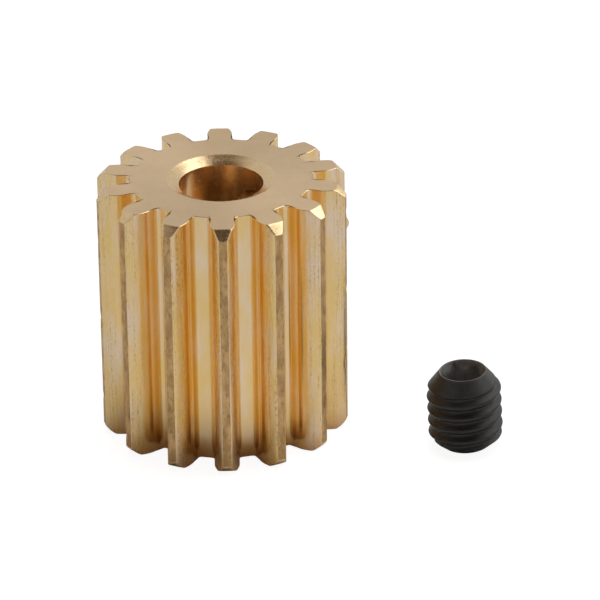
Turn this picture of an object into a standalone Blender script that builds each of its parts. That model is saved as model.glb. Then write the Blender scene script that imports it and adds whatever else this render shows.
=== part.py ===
"""A spur pinion with a plain bore and a tapped hole, and the loose set screw that clamps it to a shaft.

Frame: metres, +Z up along the pinion's axis, +X from the pinion's axis towards the screw's axis.
Both pieces stand on Z = 0, the screw with a slight lean, and the origin is below the middle of the box
around them.
"""
from math import acos, ceil, cos, hypot, pi, radians, sin, tan

import bmesh
import bpy
from mathutils import Matrix, Vector

MM = 0.001                              # every size below is in millimetres

# Pinion: a standard full-depth involute spur gear
TEETH = 14
MODULE = 0.6
PRESSURE_ANGLE = radians(20)
DEDENDUM = 1.25 * MODULE
TOOTH_THINNING = 0.05                   # backlash allowance, off the tooth's thickness
ROOT_FILLET = 0.2
FACE_WIDTH = 10.2
END_CHAMFER = 0.35                      # 45 degrees, turned across the tips of the teeth
BORE_DIAMETER = 3.2                     # slips on a 3.175 mm (1/8 inch) motor shaft
COUNTERSINK_DIAMETER = 4.14
COUNTERSINK_SLOPE = radians(26)         # to the end face
TOOTH_DIRECTION = radians(3.3)          # from +X to the first tooth

# M3 coarse thread, shared by the set screw and its hole
THREAD_DIAMETER = 2.94                  # of the screw, within the tolerance of an M3 one
THREAD_PITCH = 0.5
THREAD_DEPTH = 0.5413 * THREAD_PITCH
THREAD_CLEARANCE = 0.07                 # of the tapped hole, on its radius
HOLE_DIRECTION = radians(46.5)          # from +X to the tapped hole
HOLE_BELOW_TOP = 2.5

# Set screw: hexagon socket, cup point
SCREW_LENGTH = 3.1
SCREW_SPACING = 9.564                   # from the pinion's axis to the middle of the screw's foot
SCREW_LEAN = radians(3)                 # it stands on an uneven foot
SCREW_LEAN_DIRECTION = radians(194.8)   # from +X to where its top leans
SCREW_TURN = radians(164)               # where round its axis the thread starts
TOP_RIM_DIAMETER = 1.8
TOP_CONE_SLOPE = radians(52)            # to the end face
POINT_RIM_DIAMETER = 1.86
POINT_CONE_SLOPE = radians(41)          # to the end face
SOCKET_ACROSS_FLATS = 1.5
SOCKET_DEPTH = 1.4
SOCKET_TURN = radians(37)               # from +Y to a corner of its hexagon
SOCKET_MOUTH_DIAMETER = 1.74
SOCKET_MOUTH_DEPTH = 0.52
SOCKET_TIP_DEPTH = 0.25
CUP_DIAMETER = 1.4
CUP_SLOPE = radians(30)
CONE_INSET = 0.03                       # keeps a cone's foot off the flats of the hexagon
CONE_TIP_RADIUS = 0.02

# Fineness of the solids
BLANK_STEPS = TEETH * 6
FLANK_POINTS = 6
FILLET_POINTS = 3
SCREW_STEPS = 40
HOLE_STEPS = 24
CUT_MARGIN = 0.5                        # how far a cutter passes what it cuts
WELD = 1e-7                             # metres
SHARP_ANGLE = radians(30)               # edges sharper than this aren't shaded smooth

PITCH_RADIUS = MODULE * TEETH / 2
TIP_RADIUS = PITCH_RADIUS + MODULE
ROOT_RADIUS = PITCH_RADIUS - DEDENDUM
BASE_RADIUS = PITCH_RADIUS * cos(PRESSURE_ANGLE)
THREAD_RADIUS = THREAD_DIAMETER / 2

# The box around the set runs from the teeth at -X to the screw at +X, and the origin is under its middle.
PINION_X = (TIP_RADIUS - THREAD_RADIUS - SCREW_SPACING) / 2
SCREW_X = PINION_X + SCREW_SPACING

BRASS = ("brass", (0.72, 0.54, 0.29), 0.32)
BLACK_STEEL = ("black_steel", (0.035, 0.033, 0.032), 0.45)


def clear_scene():
    for obj in list(bpy.data.objects):
        bpy.data.objects.remove(obj, do_unlink=True)


def new_collection(name):
    collection = bpy.data.collections.new(name)
    bpy.context.scene.collection.children.link(collection)
    return collection


def metal(name, colour, roughness):
    material = bpy.data.materials.new(name)
    material.use_nodes = True
    shader = material.node_tree.nodes["Principled BSDF"]
    shader.inputs["Base Color"].default_value = (*colour, 1)
    shader.inputs["Metallic"].default_value = 1
    shader.inputs["Roughness"].default_value = roughness
    return material


def add_object(name, data, collection, place=Matrix.Identity(4)):
    obj = bpy.data.objects.new(name, data)
    obj.matrix_world = place
    collection.objects.link(obj)
    return obj


def hide_cutter(obj):
    obj.hide_render = True
    obj.display_type = "WIRE"
    return obj


def evaluated_mesh(obj):
    """The object's mesh with its modifiers applied."""
    graph = bpy.context.evaluated_depsgraph_get()
    return bpy.data.meshes.new_from_object(obj.evaluated_get(graph), depsgraph=graph)


def mesh_from(bm, name):
    bmesh.ops.recalc_face_normals(bm, faces=bm.faces[:])
    mesh = bpy.data.meshes.new(name)
    bm.to_mesh(mesh)
    bm.free()
    return mesh


def profile_object(name, points, closed, collection):
    """A line of (radius, height) points in the XZ plane, ready for a Screw modifier."""
    count = len(points)
    last = count if closed else count - 1
    mesh = bpy.data.meshes.new(name)
    mesh.from_pydata([(r * MM, 0, z * MM) for r, z in points],
                     [(i, (i + 1) % count) for i in range(last)], [])
    return add_object(name, mesh, collection)


def add_screw(obj, steps, rise=0.0, turns=1):
    """Turn a profile round Z, climbing by rise on each turn."""
    screw = obj.modifiers.new("turn", "SCREW")
    screw.steps = steps
    screw.render_steps = steps
    screw.screw_offset = rise * MM
    screw.iterations = turns
    screw.use_merge_vertices = True
    screw.merge_threshold = WELD


def add_boolean(obj, cutter, operation):
    boolean = obj.modifiers.new(cutter.name, "BOOLEAN")
    boolean.object = cutter
    boolean.operation = operation
    boolean.solver = "EXACT"


def involute(angle):
    return tan(angle) - angle


def half_tooth_angle(radius):
    """Half of the angle that a tooth takes up at a radius on its involute flank."""
    half_thickness = (pi * MODULE / 2 - TOOTH_THINNING) / 2
    return half_thickness / PITCH_RADIUS + involute(PRESSURE_ANGLE) - involute(acos(BASE_RADIUS / radius))


def flank():
    """(radius, half angle) points up one side of a tooth, from the gap's floor to the tip."""
    foot = half_tooth_angle(BASE_RADIUS)
    points = []
    for i in range(FILLET_POINTS + 1):
        turn = pi / 2 * i / FILLET_POINTS
        radius = ROOT_RADIUS + ROOT_FILLET * (1 - cos(turn))
        points.append((radius, foot + ROOT_FILLET * (1 - sin(turn)) / ROOT_RADIUS))
    for i in range(FLANK_POINTS):
        radius = BASE_RADIUS + (TIP_RADIUS - BASE_RADIUS) * i / (FLANK_POINTS - 1)
        points.append((radius, half_tooth_angle(radius)))
    return points


def gear_outline():
    """The toothed outline, counter-clockwise, with a point in the middle of each tip and each gap."""
    side = flank()
    outline = []
    for tooth in range(TEETH):
        middle = TOOTH_DIRECTION + 2 * pi * tooth / TEETH
        outline += [(radius, middle - half) for radius, half in side]
        outline.append((TIP_RADIUS, middle))
        outline += [(radius, middle + half) for radius, half in reversed(side)]
        outline.append((ROOT_RADIUS, middle + pi / TEETH))
    return [(radius * cos(angle), radius * sin(angle)) for radius, angle in outline]


def toothed_prism(place, collection):
    """The outline as a 2D curve, as thick as the face width, then made a mesh."""
    curve = bpy.data.curves.new("toothed_outline", "CURVE")
    curve.dimensions = "2D"
    curve.fill_mode = "BOTH"
    curve.extrude = FACE_WIDTH / 2 * MM
    spline = curve.splines.new("POLY")
    points = gear_outline()
    spline.points.add(len(points) - 1)
    for point, (x, y) in zip(spline.points, points):
        point.co = (x * MM, y * MM, 0, 1)
    spline.use_cyclic_u = True
    guide = add_object("toothed_outline", curve, collection)
    bm = bmesh.new()
    bm.from_mesh(evaluated_mesh(guide))
    bpy.data.objects.remove(guide, do_unlink=True)
    bmesh.ops.remove_doubles(bm, verts=bm.verts[:], dist=WELD)
    bmesh.ops.translate(bm, verts=bm.verts[:], vec=(0, 0, FACE_WIDTH / 2 * MM))
    return add_object("pinion_gear", mesh_from(bm, "pinion_gear"), collection, place)


def turned_blank(place, collection):
    """The ring that the teeth are cut in: bore, countersinks, end faces and end chamfers.

    Its rim stands proud of the teeth, so only its chamfers and its inside shape the pinion.
    """
    bore = BORE_DIAMETER / 2
    mouth = COUNTERSINK_DIAMETER / 2
    sink = (mouth - bore) * tan(COUNTERSINK_SLOPE)
    face = TIP_RADIUS - END_CHAMFER
    reach = END_CHAMFER + CUT_MARGIN
    profile = [
        (mouth, 0), (face, 0), (face + reach, reach),
        (face + reach, FACE_WIDTH - reach), (face, FACE_WIDTH), (mouth, FACE_WIDTH),
        (bore, FACE_WIDTH - sink), (bore, sink),
    ]
    blank = profile_object("turned_blank", profile[::-1], True, collection)
    add_screw(blank, BLANK_STEPS)
    blank.matrix_world = place
    return hide_cutter(blank)


def thread_profile(crest, root):
    """One pitch of the thread, as (radius, height) points: a flat crest, flanks and a flat root."""
    crest_flat = THREAD_PITCH / 8
    root_flat = THREAD_PITCH / 4
    flank_rise = (THREAD_PITCH - crest_flat - root_flat) / 2
    return [
        (crest, 0), (crest, crest_flat), (root, crest_flat + flank_rise),
        (root, crest_flat + flank_rise + root_flat), (crest, THREAD_PITCH),
    ]


def threaded_rod(name, crest, length, low_rim, top_rim, steps, collection):
    """A right-hand threaded rod on Z from 0 to length, with a cone down to a rim at each end.

    The thread is swept from a pitch below the rod to a pitch above it. What lies past an end
    is then drawn in to that end's rim and welded there, and each rim is filled.
    """
    turns = ceil(length / THREAD_PITCH) + 2
    sweep = profile_object(name + "_thread", thread_profile(crest, crest - THREAD_DEPTH), False, collection)
    add_screw(sweep, steps, THREAD_PITCH, turns)
    bm = bmesh.new()
    bm.from_mesh(evaluated_mesh(sweep))
    bpy.data.objects.remove(sweep, do_unlink=True)
    for vertex in bm.verts:
        height = min(max(vertex.co.z / MM - THREAD_PITCH, 0), length)
        radius = hypot(vertex.co.x, vertex.co.y) / MM
        low_cone = low_rim / 2 + height / tan(POINT_CONE_SLOPE)
        top_cone = top_rim / 2 + (length - height) / tan(TOP_CONE_SLOPE)
        scale = min(radius, low_cone, top_cone) / radius
        vertex.co = (vertex.co.x * scale, vertex.co.y * scale, height * MM)
    bmesh.ops.remove_doubles(bm, verts=bm.verts[:], dist=WELD)
    bmesh.ops.dissolve_degenerate(bm, dist=WELD, edges=bm.edges[:])
    bmesh.ops.holes_fill(bm, edges=[edge for edge in bm.edges if edge.is_boundary])
    return mesh_from(bm, name)


def tapped_hole(pinion_place, collection):
    """The M3 hole's cutter, from inside the bore out past the teeth."""
    crest = THREAD_RADIUS + THREAD_CLEARANCE
    start = BORE_DIAMETER / 4
    length = TIP_RADIUS + 2 * CUT_MARGIN - start
    rim = 2 * (crest - THREAD_DEPTH) - CUT_MARGIN
    mesh = threaded_rod("tapped_hole", crest, length, rim, rim, HOLE_STEPS, collection)
    height = FACE_WIDTH - HOLE_BELOW_TOP
    lay = Matrix.Rotation(HOLE_DIRECTION, 4, "Z") @ Matrix.Rotation(pi / 2, 4, "Y")
    start_point = Vector((cos(HOLE_DIRECTION) * start, sin(HOLE_DIRECTION) * start, height)) * MM
    place = pinion_place @ Matrix.Translation(start_point) @ lay
    return hide_cutter(add_object("tapped_hole", mesh, collection, place))


def cone_cutter(name, segments, low_radius, top_radius, low, top, turn, place, collection):
    """A closed cone or prism on Z, from height low to height top."""
    bm = bmesh.new()
    middle = Matrix.Translation((0, 0, (low + top) / 2 * MM)) @ Matrix.Rotation(turn, 4, "Z")
    bmesh.ops.create_cone(bm, cap_ends=True, segments=segments, radius1=low_radius * MM,
                          radius2=top_radius * MM, depth=(top - low) * MM, matrix=middle)
    return hide_cutter(add_object(name, mesh_from(bm, name), collection, place))


def make_pinion(parts, cutters):
    place = Matrix.Translation((PINION_X * MM, 0, 0))
    pinion = toothed_prism(place, parts)
    add_boolean(pinion, turned_blank(place, cutters), "INTERSECT")
    add_boolean(pinion, tapped_hole(place, cutters), "DIFFERENCE")
    return pinion


def screw_place():
    """Leaning, with the lowest point of its foot's rim on Z = 0."""
    lean_axis = (-sin(SCREW_LEAN_DIRECTION), cos(SCREW_LEAN_DIRECTION), 0)
    raised = POINT_RIM_DIAMETER / 2 * sin(SCREW_LEAN)
    return Matrix.Translation((SCREW_X * MM, 0, raised * MM)) @ Matrix.Rotation(SCREW_LEAN, 4, lean_axis)


def make_set_screw(parts, cutters):
    place = screw_place()
    mesh = threaded_rod("set_screw", THREAD_RADIUS, SCREW_LENGTH, POINT_RIM_DIAMETER,
                        TOP_RIM_DIAMETER, SCREW_STEPS, parts)
    mesh.transform(Matrix.Rotation(SCREW_TURN, 4, "Z"))
    screw = add_object("set_screw", mesh, parts, place)

    corner = SOCKET_ACROSS_FLATS / 2 / cos(pi / 6)
    floor = SCREW_LENGTH - SOCKET_DEPTH
    mouth = SOCKET_MOUTH_DIAMETER / 2
    mouth_floor = SCREW_LENGTH - SOCKET_MOUTH_DEPTH
    inner = SOCKET_ACROSS_FLATS / 2 - CONE_INSET
    flare = (mouth - inner) / SOCKET_MOUTH_DEPTH
    top = SCREW_LENGTH + CUT_MARGIN
    cup = CUP_DIAMETER / 2
    cup_top = cup * tan(CUP_SLOPE)
    cup_foot = cup + CUT_MARGIN / tan(CUP_SLOPE)
    cuts = [
        cone_cutter("hexagon_socket", 6, corner, corner, floor, top, SOCKET_TURN, place, cutters),
        cone_cutter("socket_mouth", SCREW_STEPS, inner, mouth + flare * CUT_MARGIN,
                    mouth_floor, top, 0, place, cutters),
        cone_cutter("socket_drill_tip", SCREW_STEPS, CONE_TIP_RADIUS, inner,
                    floor - SOCKET_TIP_DEPTH, floor + CONE_INSET, 0, place, cutters),
        cone_cutter("cup_point", SCREW_STEPS, cup_foot, CONE_TIP_RADIUS, -CUT_MARGIN, cup_top, 0,
                    place, cutters),
    ]
    for cutter in cuts:
        add_boolean(screw, cutter, "DIFFERENCE")
    return screw


def finish(obj, material):
    obj.data.materials.clear()
    obj.data.materials.append(material)
    obj.data.shade_smooth()
    obj.data.set_sharp_from_angle(angle=SHARP_ANGLE)


def main():
    clear_scene()
    parts = new_collection("pinion_set")
    cutters = new_collection("cutters")
    finish(make_pinion(parts, cutters), metal(*BRASS))
    finish(make_set_screw(parts, cutters), metal(*BLACK_STEEL))


main()
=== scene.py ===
"""Looks of the spur pinion and its set screw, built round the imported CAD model.

Both pieces are closed meshes made here, because the CAD solids are faceted: the pinion has broken edges, a
worn skin and a finely threaded hole, and the screw has a rolled thread and a broached socket.
Lengths in the constants are millimetres unless a comment says otherwise.
"""
import random
from math import acos, atan2, ceil, cos, exp, hypot, pi, radians, sin, tan

import bmesh
import bpy
from mathutils import Matrix, Vector, noise


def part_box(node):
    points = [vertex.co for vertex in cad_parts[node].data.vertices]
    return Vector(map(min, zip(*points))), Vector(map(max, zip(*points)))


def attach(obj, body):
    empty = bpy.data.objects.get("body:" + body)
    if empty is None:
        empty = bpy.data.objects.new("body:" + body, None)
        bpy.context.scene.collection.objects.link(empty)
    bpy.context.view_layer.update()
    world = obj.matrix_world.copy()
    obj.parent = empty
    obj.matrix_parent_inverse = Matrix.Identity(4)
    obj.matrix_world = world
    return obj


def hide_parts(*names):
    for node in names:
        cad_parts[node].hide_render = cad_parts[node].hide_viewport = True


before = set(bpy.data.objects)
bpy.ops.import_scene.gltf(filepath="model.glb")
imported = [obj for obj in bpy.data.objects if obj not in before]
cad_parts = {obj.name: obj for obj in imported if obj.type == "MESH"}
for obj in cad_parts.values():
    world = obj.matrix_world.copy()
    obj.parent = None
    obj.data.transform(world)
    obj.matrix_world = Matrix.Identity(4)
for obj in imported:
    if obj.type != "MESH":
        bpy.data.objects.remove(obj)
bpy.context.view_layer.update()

MM = 0.001

# Pinion, as in the CAD
TEETH = 14
PRESSURE_ANGLE = radians(20)
DEDENDUM_SHARE = 1.25                   # of the module
TOOTH_THINNING = 0.05
ROOT_FILLET = 0.2
END_CHAMFER = 0.35
BORE_RADIUS = 1.6
COUNTERSINK_RADIUS = 2.07
COUNTERSINK_SLOPE = radians(26)         # to the end face
TOOTH_DIRECTION = radians(3.3)          # from +X to the first tooth
HOLE_DIRECTION = radians(46.5)          # from +X to the tapped hole
HOLE_BELOW_TOP = 2.5
HOLE_RADIUS = 1.54

# Pinion, finer than the CAD
EDGE_BREAK = 0.012                      # bevel on the end faces' edges
EDGE_SUPPORT = 1.4 * EDGE_BREAK         # a row of points just inside that bevel
CORNER_BREAK = 0.04                     # softening along the corners of the teeth's tips
GAP_POINTS = 4
FILLET_POINTS = 4
FLANK_POINTS = 9
LAND_POINTS = 5
CHAMFER_ROWS = 6
TOP_ROUNDNESS = 1                       # 1 is a flat chamfer and 2 a round one
BOTTOM_ROUNDNESS = 1.25
SIDE_ROWS = 72
ROW_MARGIN = 0.01                       # less than the space between two rows
HUB_INSET = 0.15                        # from the gaps' floors to the round part of the end face
MOUTH_LIP = [(1, 0), (0.4, 0), (0, 0.12), (-0.5, 0.38)]     # (outward, down) in edge breaks
BORE_LIP = [(0.5, -0.3), (0.1, 0), (0, 0.6)]                # (outward, down) in edge breaks
BORE_LEVELS = (1, 2.5, 4)               # below the end face
WAVE_HEIGHT = 0.004                     # waviness of the drawn teeth
WAVE_LENGTH = 1.3
WAVE_STRETCH = 1.6                      # how much longer the waves are along the teeth
NICKS_PER_TOOTH = 8
NICK_DEPTH = 0.035
NICK_SHALLOWEST = 0.3                   # as a share of the depth
NICK_LENGTH = 0.12
NICK_MARGIN = 0.6                       # from the end faces
BURR_HEIGHT = 0.17                      # lip that the tap raised on the tooth beside the hole
BURR_LENGTH = 0.3
BURR_REACH = 0.5                        # down the tooth from its tip
BURR_TOOTH = 1
HOLE_STEPS = 72
HOLE_START = 0.8                        # from the pinion's axis
HOLE_PAST = 0.8                         # beyond the teeth

# Thread of the screw and of its hole
THREAD_PITCH = 0.5
THREAD_DEPTH = 0.5413 * THREAD_PITCH
CREST_FLAT = 1 / 8                      # of the pitch
ROOT_FLAT = 1 / 4                       # of the pitch
THREAD_POINTS = 14
THREAD_SOFTNESS = 0.18                  # rounding of the rolled thread, as a share of the pitch
SOFTENING_STEPS = 4
TURNS_BELOW = 2                         # swept below the rod, and later drawn in to its end
SPARE_TURNS = 3                         # swept past the rod's length in all

# Set screw, as in the CAD
SCREW_RADIUS = 1.47
SCREW_LENGTH = 3.1
SCREW_TURN = radians(141.5)             # where round its axis the thread starts
SCREW_LEAN = radians(3)                 # it rests on one side of its foot's rim
SCREW_LEAN_DIRECTION = radians(194.8)   # from +X to where its top leans
TOP_RIM = 0.90
POINT_RIM = 0.93
TOP_CONE_SLOPE = radians(52)            # to the end face
POINT_CONE_SLOPE = radians(41)          # to the end face
SOCKET_INRADIUS = 0.75
SOCKET_DEPTH = 1.4
SOCKET_TURN = radians(67)               # from +X to a corner of the hexagon
SOCKET_MOUTH = 0.868
SOCKET_MOUTH_SLOPE = radians(74)        # to the end face
SOCKET_TIP_DEPTH = 0.25
CUP_RADIUS = 0.7
CUP_SLOPE = radians(30)

# Set screw, finer than the CAD
SCREW_STEPS = 96                        # a multiple of 6, so that the socket's corners are sharp
MOUTH_STEPS = 8
SOCKET_LIP = 0.005                      # bevel on the socket's mouth
SOCKET_LEVELS = (0.6, 0.8, 1.1, SOCKET_DEPTH)       # depths of the rows below the mouth
SOCKET_FLOOR_STEP = 0.01
SOCKET_FLOOR_SHARE = 0.96               # of the hexagon's size
TIP_SHARES = (0.66, 0.33, 0.02)         # of the socket's inradius, down the drilled tip
CUP_ROWS = (CUP_RADIUS + 0.02, CUP_RADIUS - 0.01, 0.45, 0.2, 0.01)      # radii, inwards

WELD = 1e-7                             # metres
SHARP_ANGLE = radians(38)               # edges sharper than this aren't shaded smooth
SEED = 7

# Brass colours
FACE_DEEP = (0.83, 0.62, 0.385)
FACE_LIGHT = (0.89, 0.67, 0.425)
FACE_GRAIN = (0.62, 0.47, 0.28)
FLANK_GOLD = (0.93, 0.67, 0.28)
FLANK_TAN = (0.94, 0.70, 0.38)
FLANK_PALE = (0.94, 0.75, 0.54)
FLANK_WORN = (0.50, 0.31, 0.09)
# painted shade: the colour that the flanks darken to near the foot
FLANK_FOOT_SHADE = (0.55, 0.27, 0.10)
SKIN_DARK = (0.47, 0.29, 0.125)
SKIN_LIGHT = (0.68, 0.44, 0.205)
SKIN_PITS = (0.24, 0.16, 0.08)
# painted shade: the colour that the tips darken to near the foot
SKIN_FOOT_SHADE = (0.36, 0.21, 0.10)
TURNED_DEEP = (0.86, 0.63, 0.35)
TURNED_LIGHT = (0.90, 0.69, 0.42)
TURNED_PITS = (0.42, 0.28, 0.14)
BORE_DEEP = (0.97, 0.67, 0.35)
BORE_LIGHT = (0.99, 0.71, 0.39)

# Steel colours
OXIDE_DARK = (0.021, 0.0203, 0.0198)
OXIDE_LIGHT = (0.032, 0.031, 0.03)
OXIDE_RUBBED = (0.05, 0.048, 0.046)
# Painted light: the socket's colours are a lighter copy of the oxide, in place of the light on its walls
SOCKET_PAINTED_DARK = (0.19, 0.165, 0.15)
SOCKET_PAINTED_LIGHT = (0.33, 0.32, 0.31)

# Finishes
NOISE_LOW, NOISE_HIGH = 0.3, 0.7        # most of a noise's values lie between these
WORN_FROM, WORN_FULL = 4.1, 4.5         # distances from the pinion's axis
# Painted shade at the foot: the brass is darkened near the bottom, in place of the shaded floor that it
# reflects there
FOOT_SHADE_HEIGHT = 0.9                      # how far up the painted shade at the foot reaches
FOOT_SHADE_STRENGTH = 0.6
FACE_ANISOTROPY = 0.5                   # of the turned finish
FACE_ANISOTROPY_TURN = 0.25             # a quarter turn from the tangent

# Camera, as fitted
CAMERA_TARGET = Vector((-0.283, 0.748, 4.972)) * MM
CAMERA_DISTANCE = 0.165                 # metres
CAMERA_AZIMUTH = radians(14.78)
CAMERA_ELEVATION = radians(27.06)
CAMERA_ROLL = radians(-0.649)
CAMERA_LENS = 258.4
CAMERA_SENSOR = 36
CAMERA_NEAR, CAMERA_FAR = 0.001, 100    # metres

# Studio
FLOOR_SIZE = 6.0                        # metres
TABLE_DROP = 0.02                       # below the pieces
CARD_DROP = 0.04
TABLE_COLOUR = (0.25, 0.25, 0.25)
TABLE_GLOW = 0.92
CARD_COLOUR = (0.9, 0.89, 0.88)
GLOW_COLOUR = (1, 1, 1)
SKY = 0.6
SKY_COLOUR = (1, 0.985, 0.97)
DARK_SKY = 0.08
DARK_SKY_COLOUR = (1, 0.72, 0.5)
DARK_SKY_DIRECTION = (0.10, -0.27, 0.957)
DARK_SKY_EDGE, DARK_SKY_FULL = 0.66, 0.92       # cosines of the angle from that direction
LIGHTS = [
    # name, direction, distance and size in metres, radiance, whether metal reflects it
    ("table_light", (-0.035, 0.135, 0.99), 0.5, 0.22, 8.2, False),
    ("key", (0.54, 0.30, 0.78), 0.3, 0.26, 1.5, True),
    ("rim", (0.6, 0.78, 0.2), 0.3, 0.12, 1.2, True),
]


def pinion_sizes():
    """The pinion's axis in metres, and its tip radius and face width in millimetres, from its CAD box."""
    low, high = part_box("pinion_gear")
    axis = (low + high) / 2
    return axis.x, axis.y, (high.x - low.x) / 2 / MM, (high.z - low.z) / MM


AXIS_X, AXIS_Y, TIP_RADIUS, FACE_WIDTH = pinion_sizes()
FACE_RADIUS = TIP_RADIUS - END_CHAMFER
MODULE = 2 * TIP_RADIUS / (TEETH + 2)
PITCH_RADIUS = MODULE * TEETH / 2
ROOT_RADIUS = PITCH_RADIUS - DEDENDUM_SHARE * MODULE
BASE_RADIUS = PITCH_RADIUS * cos(PRESSURE_ANGLE)

# Material slots of the two meshes
FACE, FLANK, LAND, TURNED, BORE = range(5)
OXIDE, SOCKET = range(2)


# Mesh tools ------------------------------------------------------------------------------------------

def ring(bm, points):
    return [bm.verts.new((x * MM, y * MM, z * MM)) for x, y, z in points]


def circle(count, radius, height, start):
    step = 2 * pi / count
    return [(radius * cos(start + step * i), radius * sin(start + step * i), height) for i in range(count)]


def bridge(bm, low, high, materials):
    """Quads between two rings with as many vertices, low to high, with a material slot for each quad."""
    count = len(low)
    for i, material in enumerate(materials):
        after = (i + 1) % count
        face = bm.faces.new((low[i], low[after], high[after], high[i]))
        face.material_index = material


def mesh_from(bm, name):
    bmesh.ops.recalc_face_normals(bm, faces=bm.faces[:])
    mesh = bpy.data.meshes.new(name)
    bm.to_mesh(mesh)
    bm.free()
    return mesh


# Pinion ----------------------------------------------------------------------------------------------

def involute(angle):
    return tan(angle) - angle


def half_tooth_angle(radius):
    """Half of the angle that a tooth takes up at a radius on its involute flank."""
    half_thickness = (pi * MODULE / 2 - TOOTH_THINNING) / 2
    return half_thickness / PITCH_RADIUS + involute(PRESSURE_ANGLE) - involute(acos(BASE_RADIUS / radius))


def tooth_side(tip):
    """(radius, half angle, on the land) points up one side of a tooth, from mid gap to mid tip."""
    foot = half_tooth_angle(BASE_RADIUS)
    fillet_start = foot + ROOT_FILLET / ROOT_RADIUS
    gap = pi / TEETH
    points = []
    for i in range(GAP_POINTS):
        points.append((ROOT_RADIUS, gap + (fillet_start - gap) * i / GAP_POINTS, False))
    for i in range(FILLET_POINTS + 1):
        turn = pi / 2 * i / FILLET_POINTS
        radius = ROOT_RADIUS + ROOT_FILLET * (1 - cos(turn))
        points.append((radius, foot + ROOT_FILLET * (1 - sin(turn)) / ROOT_RADIUS, False))
    for i in range(FLANK_POINTS + 1):
        radius = BASE_RADIUS + (tip - CORNER_BREAK - BASE_RADIUS) * i / FLANK_POINTS
        points.append((radius, half_tooth_angle(radius), False))
    corner = half_tooth_angle(tip)
    softness = CORNER_BREAK * (1 - cos(pi / 4))
    points.append((tip - softness, corner - softness / tip, True))
    for i in range(LAND_POINTS + 1):
        points.append((tip, (corner - CORNER_BREAK / tip) * (1 - i / LAND_POINTS), True))
    return points


def outline(tip, inset):
    """The toothed outline at one height, counter-clockwise: (x, y, normal x, normal y, land, tooth)."""
    side = tooth_side(tip)
    polar = []
    for tooth in range(TEETH):
        middle = TOOTH_DIRECTION + 2 * pi * tooth / TEETH
        polar += [(radius, middle - half, land, tooth) for radius, half, land in side]
        polar += [(radius, middle + half, land, tooth) for radius, half, land in side[-2:0:-1]]
    flat = [(radius * cos(angle), radius * sin(angle)) for radius, angle, _, _ in polar]
    count = len(flat)
    made = []
    for i, (_, _, land, tooth) in enumerate(polar):
        (x, y), before, after = flat[i], flat[i - 1], flat[(i + 1) % count]
        along = (after[0] - before[0], after[1] - before[1])
        length = hypot(*along)
        out = (along[1] / length, -along[0] / length)
        made.append((x - inset * out[0], y - inset * out[1], *out, land, tooth))
    return made


def chamfer_rows(roundness):
    """(height, tip radius, inset) of the rows from an end face over its chamfer."""
    rows = [(0, FACE_RADIUS, EDGE_BREAK)]
    for i in range(CHAMFER_ROWS + 1):
        height = EDGE_BREAK + (END_CHAMFER - EDGE_BREAK) * i / CHAMFER_ROWS
        rise = (1 - (1 - height / END_CHAMFER) ** roundness) ** (1 / roundness)
        rows.append((height, FACE_RADIUS + END_CHAMFER * rise, 0))
    return rows


def side_rows():
    """(height, tip radius, inset) of every row up the pinion's side, from the bottom face to the top one."""
    low = chamfer_rows(BOTTOM_ROUNDNESS)
    top = [(FACE_WIDTH - height, tip, inset) for height, tip, inset in reversed(chamfer_rows(TOP_ROUNDNESS))]
    start = END_CHAMFER + 2 * EDGE_BREAK
    middle = [(start + (FACE_WIDTH - 2 * start) * i / (SIDE_ROWS - 1), TIP_RADIUS, 0)
              for i in range(SIDE_ROWS)]
    return low + middle + top


def nicks(random_source):
    """For each tooth, (side, height, depth) of the small dents along the corners of its tip."""
    return [[(random_source.choice((-1, 1)), random_source.uniform(NICK_MARGIN, FACE_WIDTH - NICK_MARGIN),
              random_source.uniform(NICK_SHALLOWEST, 1) * NICK_DEPTH) for _ in range(NICKS_PER_TOOTH)]
            for _ in range(TEETH)]


def wear(x, y, height, tooth, tooth_nicks):
    """How far a point on the side stands proud of the drawn shape, in millimetres."""
    along = height / WAVE_LENGTH / WAVE_STRETCH + tooth
    proud = WAVE_HEIGHT * noise.noise(Vector((x / WAVE_LENGTH, y / WAVE_LENGTH, along)))
    near_corner = exp(-((TIP_RADIUS - hypot(x, y)) / CORNER_BREAK) ** 2)
    middle = TOOTH_DIRECTION + 2 * pi * tooth / TEETH
    angle_off = (atan2(y, x) - middle + pi) % (2 * pi) - pi
    for side, nick_height, depth in tooth_nicks[tooth]:
        if side * angle_off > 0:
            proud -= depth * near_corner * exp(-((height - nick_height) / NICK_LENGTH) ** 2)
    return proud


def burr(height, tooth, radius):
    """The height of the lip beside the tapped hole."""
    if tooth != BURR_TOOTH:
        return 0
    near_tip = max(0, 1 - (TIP_RADIUS - radius) / BURR_REACH)
    away = (height - (FACE_WIDTH - HOLE_BELOW_TOP)) / BURR_LENGTH
    return BURR_HEIGHT * near_tip ** 2 * max(0, 1 - away * away)


def side_ring(bm, height, tip, inset, tooth_nicks):
    """One row of the pinion's side, with its wear and its burr."""
    points = []
    for x, y, out_x, out_y, _, tooth in outline(tip, inset):
        proud = wear(x, y, height, tooth, tooth_nicks)
        radius = hypot(x, y)
        lift = 1 + burr(height, tooth, radius) / radius
        points.append(((x + proud * out_x) * lift, (y + proud * out_y) * lift, height))
    return ring(bm, points)


def side_materials(height):
    """The material slots of the quads just above a row of the pinion's side."""
    on_land = [land for _, _, _, _, land, _ in outline(TIP_RADIUS, 0)]
    in_chamfer = height < END_CHAMFER or height >= FACE_WIDTH - END_CHAMFER - ROW_MARGIN
    tip_material = TURNED if in_chamfer else LAND
    after = on_land[1:] + on_land[:1]
    return [tip_material if here and there else FLANK for here, there in zip(on_land, after)]


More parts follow.
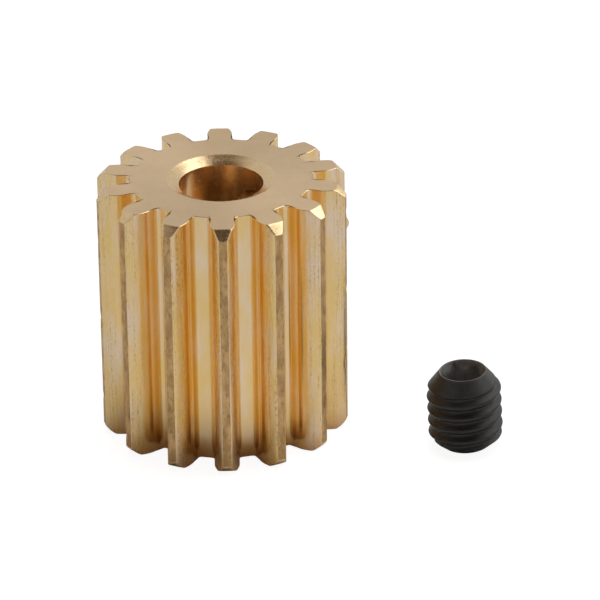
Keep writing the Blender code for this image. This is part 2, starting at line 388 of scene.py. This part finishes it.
def end_profile():
    """(radius, depth, material slot) from the end face over its countersink and down the bore."""
    sink = (COUNTERSINK_RADIUS - BORE_RADIUS) * tan(COUNTERSINK_SLOPE)
    profile = [(COUNTERSINK_RADIUS + EDGE_BREAK * out, EDGE_BREAK * down, TURNED if down else FACE)
               for out, down in MOUTH_LIP]
    profile.append(((COUNTERSINK_RADIUS + BORE_RADIUS) / 2, sink / 2, TURNED))
    profile += [(BORE_RADIUS + EDGE_BREAK * out, sink + EDGE_BREAK * down, TURNED if out else BORE)
                for out, down in BORE_LIP]
    return profile + [(BORE_RADIUS, depth, BORE) for depth in BORE_LEVELS]


def end_face(bm, rim, height, is_top):
    """The flat end, the countersink and part of the bore; returns the last ring in the bore."""
    count = len(rim)
    into = -1 if is_top else 1
    start = TOOTH_DIRECTION - pi / TEETH
    flat = [(x, y, height) for x, y, *_ in outline(FACE_RADIUS, EDGE_SUPPORT)]
    rings = [rim, ring(bm, flat), ring(bm, circle(count, ROOT_RADIUS - HUB_INSET, height, start))]
    materials = [FACE, FACE]
    for radius, depth, material in end_profile():
        rings.append(ring(bm, circle(count, radius, height + into * depth, start)))
        materials.append(material)
    for outer, inner, material in zip(rings, rings[1:], materials):
        low, high = (outer, inner) if is_top else (inner, outer)
        bridge(bm, low, high, [material] * count)
    return rings[-1]


def build_pinion_mesh():
    tooth_nicks = nicks(random.Random(SEED))
    bm = bmesh.new()
    rows = side_rows()
    rings = [side_ring(bm, *row, tooth_nicks) for row in rows]
    for low, high, (height, _, _) in zip(rings, rings[1:], rows):
        bridge(bm, low, high, side_materials(height))
    bottom_bore = end_face(bm, rings[0], 0, False)
    top_bore = end_face(bm, rings[-1], FACE_WIDTH, True)
    bridge(bm, top_bore, bottom_bore, [BORE] * len(top_bore))
    return mesh_from(bm, "pinion")


# Threads and screw -----------------------------------------------------------------------------------

def thread_share(phase):
    """0 at the thread's root and 1 at its crest, softened, for a phase of 0 to 1 along one pitch."""
    steps = range(-SOFTENING_STEPS, SOFTENING_STEPS + 1)
    total = 0
    for step in steps:
        away = abs((phase + THREAD_SOFTNESS * step / SOFTENING_STEPS) % 1 - 0.5) * 2
        total += min(max((away - ROOT_FLAT) / (1 - ROOT_FLAT - CREST_FLAT), 0), 1)
    return total / len(steps)


def threaded_rod(crest, length, low_rim, top_rim, steps, start, turn):
    """A right-hand threaded rod on Z from 0 to length, with a cone down to an open rim at each end.

    Column j of the grid is at angle start + 2 pi j / steps, and rows climb by a pitch on each turn.
    Points past an end are drawn in to that end's rim and welded there.
    """
    bm = bmesh.new()
    rows = (ceil(length / THREAD_PITCH) + SPARE_TURNS) * THREAD_POINTS
    first_shift = ((start - turn) / (2 * pi)) % 1 - TURNS_BELOW
    grid = []
    for j in range(steps):
        angle = start + 2 * pi * j / steps
        column = []
        for i in range(rows):
            height = (i / THREAD_POINTS + first_shift + j / steps) * THREAD_PITCH
            height = min(max(height, 0), length)
            radius = min(crest - THREAD_DEPTH * (1 - thread_share(i / THREAD_POINTS)),
                         low_rim + height / tan(POINT_CONE_SLOPE),
                         top_rim + (length - height) / tan(TOP_CONE_SLOPE))
            column.append(bm.verts.new((radius * cos(angle) * MM, radius * sin(angle) * MM, height * MM)))
        grid.append(column)
    for j, column in enumerate(grid):
        # After a whole turn the first column comes round again, one pitch higher.
        skip = THREAD_POINTS if j == steps - 1 else 0
        beside = grid[(j + 1) % steps][skip:]
        for i in range(rows - 1 - skip):
            bm.faces.new((column[i], beside[i], beside[i + 1], column[i + 1]))
    bmesh.ops.remove_doubles(bm, verts=bm.verts[:], dist=WELD)
    bmesh.ops.dissolve_degenerate(bm, dist=WELD, edges=bm.edges[:])
    return bm


def end_ring(bm, height, steps, start):
    """The rod's own vertices at one end, in order from the start angle."""
    found = [None] * steps
    for vertex in bm.verts:
        if abs(vertex.co.z - height * MM) < WELD:
            angle = atan2(vertex.co.y, vertex.co.x)
            found[round((angle - start) / (2 * pi) * steps) % steps] = vertex
    return found


def hexagon_radius(angle):
    """The distance from the screw's axis to the socket's wall in one direction."""
    from_corner = (angle - SOCKET_TURN + pi / 6) % (pi / 3) - pi / 6
    return SOCKET_INRADIUS / cos(pi / 6 - abs(from_corner))


def socket_rows(angles):
    """(depth, radii) of the rows down the socket, from the edge of its mouth to its drilled tip."""
    hexagon = [hexagon_radius(angle) for angle in angles]
    rows = [(0, [SOCKET_MOUTH + SOCKET_LIP] * len(angles))]
    mouth_depth = (SOCKET_MOUTH - SOCKET_INRADIUS) * tan(SOCKET_MOUTH_SLOPE)
    for i in range(MOUTH_STEPS + 1):
        down = mouth_depth * i / MOUTH_STEPS
        cone = SOCKET_MOUTH - down / tan(SOCKET_MOUTH_SLOPE)
        rows.append((SOCKET_LIP + down, [max(radius, cone) for radius in hexagon]))
    rows += [(depth, hexagon) for depth in SOCKET_LEVELS]
    floor = SOCKET_DEPTH + SOCKET_FLOOR_STEP
    rows.append((floor, [radius * SOCKET_FLOOR_SHARE for radius in hexagon]))
    for share in TIP_SHARES:
        rows.append((floor + SOCKET_TIP_DEPTH * (1 - share), [SOCKET_INRADIUS * share] * len(angles)))
    return rows


def add_socket(bm):
    angles = [SOCKET_TURN + 2 * pi * j / SCREW_STEPS for j in range(SCREW_STEPS)]
    rings = [end_ring(bm, SCREW_LENGTH, SCREW_STEPS, SOCKET_TURN)]
    for depth, radii in socket_rows(angles):
        rings.append(ring(bm, [(radius * cos(angle), radius * sin(angle), SCREW_LENGTH - depth)
                               for radius, angle in zip(radii, angles)]))
    for outer, inner in zip(rings, rings[1:]):
        bridge(bm, outer, inner, [SOCKET] * SCREW_STEPS)
    bm.faces.new(rings[-1]).material_index = SOCKET


def add_cup_point(bm):
    rings = [end_ring(bm, 0, SCREW_STEPS, SOCKET_TURN)]
    for radius in CUP_ROWS:
        height = max(0, (CUP_RADIUS - radius) * tan(CUP_SLOPE))
        rings.append(ring(bm, circle(SCREW_STEPS, radius, height, SOCKET_TURN)))
    for outer, inner in zip(rings, rings[1:]):
        bridge(bm, inner, outer, [OXIDE] * SCREW_STEPS)
    bm.faces.new(rings[-1][::-1])


def build_screw_mesh():
    bm = threaded_rod(SCREW_RADIUS, SCREW_LENGTH, POINT_RIM, TOP_RIM, SCREW_STEPS, SOCKET_TURN, SCREW_TURN)
    add_socket(bm)
    add_cup_point(bm)
    return mesh_from(bm, "screw")


def hole_cutter():
    """The M3 tap's shape, from inside the bore out past the teeth."""
    length = TIP_RADIUS + HOLE_PAST - HOLE_START
    root = HOLE_RADIUS - THREAD_DEPTH
    bm = threaded_rod(HOLE_RADIUS, length, root, root, HOLE_STEPS, 0, 0)
    bmesh.ops.holes_fill(bm, edges=[edge for edge in bm.edges if edge.is_boundary])
    cutter = bpy.data.objects.new("hole_cutter", mesh_from(bm, "hole_cutter"))
    bpy.context.scene.collection.objects.link(cutter)
    start = Vector((cos(HOLE_DIRECTION) * HOLE_START, sin(HOLE_DIRECTION) * HOLE_START,
                    FACE_WIDTH - HOLE_BELOW_TOP)) * MM
    lay = Matrix.Rotation(HOLE_DIRECTION, 4, "Z") @ Matrix.Rotation(pi / 2, 4, "Y")
    cutter.matrix_world = Matrix.Translation((AXIS_X, AXIS_Y, 0)) @ Matrix.Translation(start) @ lay
    return cutter


# Material tools --------------------------------------------------------------------------------------

def add(tree, kind, inputs=None, **settings):
    """A shader node with its settings, and its inputs linked or set."""
    made = tree.nodes.new("ShaderNode" + kind)
    for name, value in settings.items():
        setattr(made, name, value)
    for name, value in (inputs or {}).items():
        if isinstance(value, bpy.types.NodeSocket):
            tree.links.new(value, made.inputs[name])
        else:
            made.inputs[name].default_value = value
    return made


def combine(tree, first, second, operation="ADD"):
    return add(tree, "Math", {0: first, 1: second}, operation=operation).outputs[0]


def remap(tree, value, low, high, to_low, to_high):
    made = add(tree, "MapRange", {"Value": value, "From Min": low, "From Max": high,
                                  "To Min": to_low, "To Max": to_high})
    return made.outputs["Result"]


def spread(tree, value, to_low, to_high):
    """A noise stretched from its usual values to these."""
    return remap(tree, value, NOISE_LOW, NOISE_HIGH, to_low, to_high)


def axis_distance(tree):
    """The distance from the piece's axis, in metres."""
    place = add(tree, "TexCoord").outputs["Object"]
    flat = add(tree, "VectorMath", {0: place, 1: (1, 1, 0)}, operation="MULTIPLY")
    return add(tree, "VectorMath", {0: flat.outputs[0]}, operation="LENGTH").outputs["Value"]


def height_up(tree):
    """The height in the piece, in metres."""
    place = add(tree, "TexCoord").outputs["Object"]
    return add(tree, "SeparateXYZ", {0: place}).outputs["Z"]


def object_noise(tree, sizes, detail=3, roughness=0.6):
    """Noise whose grains have these sizes along X, Y and Z, in millimetres."""
    place = add(tree, "TexCoord").outputs["Object"]
    scaled = add(tree, "Mapping", {"Vector": place, "Scale": [1 / (size * MM) for size in sizes]})
    made = add(tree, "TexNoise", {"Vector": scaled.outputs["Vector"], "Scale": 1, "Detail": detail,
                                  "Roughness": roughness})
    return made.outputs[0]


def line_noise(tree, position, size):
    """Noise that changes only with this position, every size millimetres."""
    scaled = combine(tree, position, 1 / (size * MM), "MULTIPLY")
    made = add(tree, "TexNoise", {"W": scaled, "Scale": 1, "Detail": 3}, noise_dimensions="1D")
    return made.outputs[0]


def outer_share(tree):
    """0 near the roots of the teeth and 1 near their tips."""
    return remap(tree, axis_distance(tree), WORN_FROM * MM, WORN_FULL * MM, 0, 1)


def painted_foot_shade(tree):
    """The strength of the painted shade at the foot of the piece: darker towards the bottom, in place of the
    shaded floor near the contact that the metal reflects there.
    """
    return remap(tree, height_up(tree), 0, FOOT_SHADE_HEIGHT * MM, FOOT_SHADE_STRENGTH, 0)


def opaque(colour):
    """A colour for a socket: a link stays as it is, and three numbers get an alpha of 1."""
    return colour if isinstance(colour, bpy.types.NodeSocket) else (*colour, 1)


def blend_colours(tree, value, colours):
    """A ramp over (position, colour) stops."""
    ramp = add(tree, "ValToRGB", {"Fac": value})
    stops = ramp.color_ramp.elements
    for position, _ in colours[1:-1]:
        stops.new(position)
    stops[0].position = colours[0][0]
    stops[len(colours) - 1].position = colours[-1][0]
    for stop, (_, colour) in zip(stops, colours):
        stop.color = opaque(colour)
    return ramp.outputs["Color"]


def mix_colours(tree, share, first, second):
    made = add(tree, "MixRGB", {"Fac": share, "Color1": opaque(first), "Color2": opaque(second)})
    return made.outputs["Color"]


def bump(tree, value, depth, under=None):
    """A bump of that depth in millimetres, on top of another."""
    made = add(tree, "Bump", {"Height": value, "Distance": depth * MM, "Strength": 1})
    if under:
        tree.links.new(under, made.inputs["Normal"])
    return made.outputs["Normal"]


def new_material(name, metallic):
    material = bpy.data.materials.new(name)
    material.use_nodes = True
    shader = material.node_tree.nodes["Principled BSDF"]
    shader.inputs["Metallic"].default_value = metallic
    return material, material.node_tree, shader


def connect(tree, shader, colour, roughness, normal):
    tree.links.new(colour, shader.inputs["Base Color"])
    tree.links.new(roughness, shader.inputs["Roughness"])
    tree.links.new(normal, shader.inputs["Normal"])


# Materials -------------------------------------------------------------------------------------------

def brass_face():
    """Faced ends: satin, with faint turning marks."""
    material, tree, shader = new_material("brass_face", 1)
    cloud = object_noise(tree, [0.9] * 3)
    grain = object_noise(tree, [0.07] * 3, 4, 0.7)
    marks = line_noise(tree, axis_distance(tree), 0.05)
    colour = blend_colours(tree, cloud, [(NOISE_LOW, FACE_DEEP), (NOISE_HIGH, FACE_LIGHT)])
    colour = mix_colours(tree, spread(tree, grain, 0.25, 0), colour, FACE_GRAIN)
    roughness = combine(tree, spread(tree, grain, 0.34, 0.46), spread(tree, marks, -0.04, 0.04))
    normal = bump(tree, marks, 0.0012)
    normal = bump(tree, grain, 0.0016, normal)
    connect(tree, shader, colour, roughness, normal)
    around = add(tree, "Tangent", direction_type="RADIAL", axis="Z")
    tree.links.new(around.outputs["Tangent"], shader.inputs["Tangent"])
    shader.inputs["Anisotropic"].default_value = FACE_ANISOTROPY
    shader.inputs["Anisotropic Rotation"].default_value = FACE_ANISOTROPY_TURN
    return material


def brass_flank():
    """Flanks and gap floors: smooth, drawn lengthwise, rubbed and pitted towards the tips."""
    material, tree, shader = new_material("brass_flank", 1)
    streak = object_noise(tree, (0.05, 0.05, 2.6))
    cloud = object_noise(tree, (0.8, 0.8, 2.4))
    pits = object_noise(tree, (0.045, 0.045, 0.12), 3, 0.65)
    lines = object_noise(tree, (0.09, 0.09, 3.5))
    outer = outer_share(tree)
    in_pits = remap(tree, pits, 0.38, 0.52, 1, 0.15)
    in_lines = remap(tree, lines, 0.52, 0.64, 0.12, 0.8)
    worn = combine(tree, combine(tree, in_pits, in_lines, "MULTIPLY"), outer, "MULTIPLY")
    colour = blend_colours(tree, cloud, [(0.36, FLANK_GOLD), (0.5, FLANK_TAN), (0.64, FLANK_PALE)])
    colour = mix_colours(tree, worn, colour, FLANK_WORN)
    # painted shade, darker towards the foot
    colour = mix_colours(tree, painted_foot_shade(tree), colour, FLANK_FOOT_SHADE)
    roughness = combine(tree, spread(tree, streak, 0.12, 0.2), spread(tree, cloud, -0.02, 0.04))
    roughness = combine(tree, roughness, combine(tree, outer, 0.12, "MULTIPLY"))
    normal = bump(tree, streak, 0.0014)
    normal = bump(tree, cloud, 0.005, normal)
    normal = bump(tree, combine(tree, pits, outer, "MULTIPLY"), 0.0025, normal)
    connect(tree, shader, colour, roughness, normal)
    return material


def brass_land():
    """Tips of the teeth: the bar's own skin, dull and pitted, with lengthwise scratches."""
    material, tree, shader = new_material("brass_land", 1)
    pits = object_noise(tree, (0.10, 0.10, 0.22), 4, 0.65)
    streak = object_noise(tree, (0.04, 0.04, 1.2))
    patch = object_noise(tree, (0.3, 0.3, 0.8))
    colour = blend_colours(tree, patch, [(0.38, SKIN_DARK), (0.62, SKIN_LIGHT)])
    colour = mix_colours(tree, remap(tree, pits, 0.32, 0.48, 0.55, 0), colour, SKIN_PITS)
    # painted shade, darker towards the foot
    colour = mix_colours(tree, painted_foot_shade(tree), colour, SKIN_FOOT_SHADE)
    roughness = combine(tree, remap(tree, pits, 0.3, 0.6, 0.55, 0.32), spread(tree, streak, -0.05, 0.05))
    normal = bump(tree, streak, 0.0016)
    normal = bump(tree, pits, 0.006, normal)
    connect(tree, shader, colour, roughness, normal)
    return material


def brass_turned():
    """Turned chamfers and countersinks: brighter than the faces, with rings and small pits."""
    material, tree, shader = new_material("brass_turned", 1)
    cloud = object_noise(tree, [0.5] * 3)
    pits = object_noise(tree, [0.11] * 3, 4, 0.65)
    marks = line_noise(tree, axis_distance(tree), 0.035)
    colour = blend_colours(tree, cloud, [(NOISE_LOW, TURNED_DEEP), (NOISE_HIGH, TURNED_LIGHT)])
    colour = mix_colours(tree, remap(tree, pits, 0.3, 0.42, 0.4, 0), colour, TURNED_PITS)
    roughness = combine(tree, remap(tree, pits, 0.3, 0.6, 0.34, 0.2), spread(tree, marks, -0.04, 0.04))
    normal = bump(tree, marks, 0.0012)
    normal = bump(tree, pits, 0.0025, normal)
    connect(tree, shader, colour, roughness, normal)
    return material


def brass_bore():
    """Bored and tapped surfaces: smooth, with fine rings."""
    material, tree, shader = new_material("brass_bore", 1)
    cloud = object_noise(tree, [0.7] * 3, 2)
    colour = blend_colours(tree, cloud, [(NOISE_LOW, BORE_DEEP), (NOISE_HIGH, BORE_LIGHT)])
    rings = line_noise(tree, height_up(tree), 0.07)
    connect(tree, shader, colour, spread(tree, cloud, 0.24, 0.29), bump(tree, rings, 0.0008))
    return material


def socket_steel():
    """The broached socket, with marks down its walls; its colour is a much lighter copy of the oxide,
    painted light in place of the light on the socket's walls.
    """
    material, tree, shader = new_material("socket_steel", 0.5)
    streak = object_noise(tree, (0.035, 0.035, 1.5))
    cloud = object_noise(tree, [0.5] * 3, 2)
    # painted light: the socket's walls are coloured much lighter than the oxide
    colour = blend_colours(tree, cloud, [(0.35, SOCKET_PAINTED_DARK), (0.65, SOCKET_PAINTED_LIGHT)])
    connect(tree, shader, colour, spread(tree, streak, 0.5, 0.75), bump(tree, streak, 0.003))
    return material


def black_steel():
    """Black oxide on steel: near black, satin, with a fine grain and rubbed turning marks."""
    material, tree, shader = new_material("black_steel", 0.3)
    grain = object_noise(tree, [0.05] * 3, 4, 0.7)
    cloud = object_noise(tree, [0.6] * 3)
    marks = line_noise(tree, axis_distance(tree), 0.06)
    colour = blend_colours(tree, cloud, [(NOISE_LOW, OXIDE_DARK), (NOISE_HIGH, OXIDE_LIGHT)])
    colour = mix_colours(tree, remap(tree, marks, 0.55, 0.7, 0, 0.5), colour, OXIDE_RUBBED)
    roughness = combine(tree, spread(tree, grain, 0.36, 0.5), spread(tree, marks, -0.05, 0.05))
    normal = bump(tree, marks, 0.002)
    normal = bump(tree, grain, 0.002, normal)
    connect(tree, shader, colour, roughness, normal)
    return material


# Pieces ----------------------------------------------------------------------------------------------

def add_piece(name, mesh, materials):
    obj = bpy.data.objects.new(name, mesh)
    bpy.context.scene.collection.objects.link(obj)
    for material in materials:
        mesh.materials.append(material)
    return obj


def cut(obj, cutter):
    """Cut the object with the cutter and keep the result as its mesh."""
    boolean = obj.modifiers.new("cut", "BOOLEAN")
    boolean.object = cutter
    boolean.solver = "EXACT"
    boolean.material_mode = "TRANSFER"
    bpy.context.view_layer.update()
    graph = bpy.context.evaluated_depsgraph_get()
    mesh = bpy.data.meshes.new_from_object(obj.evaluated_get(graph), depsgraph=graph)
    obj.modifiers.clear()
    obj.data = mesh
    bpy.data.objects.remove(cutter, do_unlink=True)


def shade(mesh):
    mesh.shade_smooth()
    mesh.set_sharp_from_angle(angle=SHARP_ANGLE)


def make_pinion():
    materials = [brass_face(), brass_flank(), brass_land(), brass_turned(), brass_bore()]
    pinion = add_piece("pinion", build_pinion_mesh(), materials)
    pinion.location = (AXIS_X, AXIS_Y, 0)
    cutter = hole_cutter()
    cutter.data.materials.append(materials[BORE])
    cut(pinion, cutter)
    shade(pinion.data)
    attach(pinion, "pinion")
    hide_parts("pinion_gear")


def make_screw():
    """The set screw, leaning, with the middle of its box on the middle of the CAD's."""
    low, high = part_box("set_screw")
    screw = add_piece("socket_screw", build_screw_mesh(), [black_steel(), socket_steel()])
    lean_axis = (-sin(SCREW_LEAN_DIRECTION), cos(SCREW_LEAN_DIRECTION), 0)
    lean = Matrix.Rotation(SCREW_LEAN, 4, lean_axis)
    leaning = [lean @ vertex.co for vertex in screw.data.vertices]
    own_low = Vector([min(point[axis] for point in leaning) for axis in range(3)])
    own_high = Vector([max(point[axis] for point in leaning) for axis in range(3)])
    place = (low + high) / 2 - (own_low + own_high) / 2
    screw.matrix_world = Matrix.Translation(place) @ lean
    shade(screw.data)
    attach(screw, "set_screw")
    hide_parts("set_screw")


# Studio ----------------------------------------------------------------------------------------------

def plane(name, height, material):
    mesh = bpy.data.meshes.new(name)
    half = FLOOR_SIZE / 2
    corners = [(-half, -half, height), (half, -half, height), (half, half, height), (-half, half, height)]
    mesh.from_pydata(corners, [], [(0, 1, 2, 3)])
    mesh.materials.append(material)
    obj = bpy.data.objects.new(name, mesh)
    bpy.context.scene.collection.objects.link(obj)
    return obj


def matte(name, colour, glow):
    material, _, shader = new_material(name, 0)
    shader.inputs["Base Color"].default_value = opaque(colour)
    shader.inputs["Roughness"].default_value = 1
    shader.inputs["Specular IOR Level"].default_value = 0
    shader.inputs["Emission Color"].default_value = opaque(GLOW_COLOUR)
    shader.inputs["Emission Strength"].default_value = glow
    return material


def make_floor():
    """A white table, which the camera sees, and just below it a plainer card, which the metal reflects."""
    table = plane("floor", -TABLE_DROP * MM, matte("white_table", TABLE_COLOUR, TABLE_GLOW))
    table.visible_glossy = False
    table.visible_diffuse = False
    table.visible_shadow = False
    card = plane("bounce_card", -CARD_DROP * MM, matte("white_card", CARD_COLOUR, 0))
    card.visible_camera = False


def make_world():
    """Soft light from all round, darker high up and in front, where the camera stands."""
    world = bpy.data.worlds.new("studio")
    bpy.context.scene.world = world
    world.use_nodes = True
    world.cycles_visibility.diffuse = False
    tree = world.node_tree
    direction = add(tree, "TexCoord").outputs["Generated"]
    facing = add(tree, "VectorMath", {0: direction, 1: DARK_SKY_DIRECTION}, operation="DOT_PRODUCT")
    dark = add(tree, "MapRange", {"Value": facing.outputs["Value"], "From Min": DARK_SKY_EDGE,
                                  "From Max": DARK_SKY_FULL}, interpolation_type="SMOOTHSTEP")
    share = dark.outputs["Result"]
    background = tree.nodes["Background"]
    tree.links.new(mix_colours(tree, share, SKY_COLOUR, DARK_SKY_COLOUR), background.inputs["Color"])
    tree.links.new(remap(tree, share, 0, 1, SKY, DARK_SKY), background.inputs["Strength"])


def softbox(name, direction, distance, size, radiance, reflected):
    """A square area light that faces the object, with the brightness that its face shows."""
    light = bpy.data.lights.new(name, "AREA")
    light.shape = "SQUARE"
    light.size = size
    light.energy = radiance * pi * size * size
    lamp = bpy.data.objects.new(name, light)
    direction = Vector(direction).normalized()
    lamp.location = CAMERA_TARGET + direction * distance
    lamp.rotation_mode = "QUATERNION"
    lamp.rotation_quaternion = direction.to_track_quat("Z", "Y")
    lamp.visible_glossy = reflected
    bpy.context.scene.collection.objects.link(lamp)


def make_lights():
    for light in LIGHTS:
        softbox(*light)


def make_camera():
    camera = bpy.data.cameras.new("camera")
    camera.lens = CAMERA_LENS
    camera.sensor_width = CAMERA_SENSOR
    camera.clip_start = CAMERA_NEAR
    camera.clip_end = CAMERA_FAR
    holder = bpy.data.objects.new("camera", camera)
    back = Vector((sin(CAMERA_AZIMUTH) * cos(CAMERA_ELEVATION), -cos(CAMERA_AZIMUTH) * cos(CAMERA_ELEVATION),
                   sin(CAMERA_ELEVATION)))
    turn = back.to_track_quat("Z", "Y").to_matrix().to_4x4() @ Matrix.Rotation(CAMERA_ROLL, 4, "Z")
    holder.matrix_world = Matrix.Translation(CAMERA_TARGET + back * CAMERA_DISTANCE) @ turn
    bpy.context.scene.collection.objects.link(holder)
    bpy.context.scene.camera = holder
    bpy.context.scene.view_settings.view_transform = "Standard"


make_pinion()
make_screw()
make_floor()
make_world()
make_lights()
make_camera()
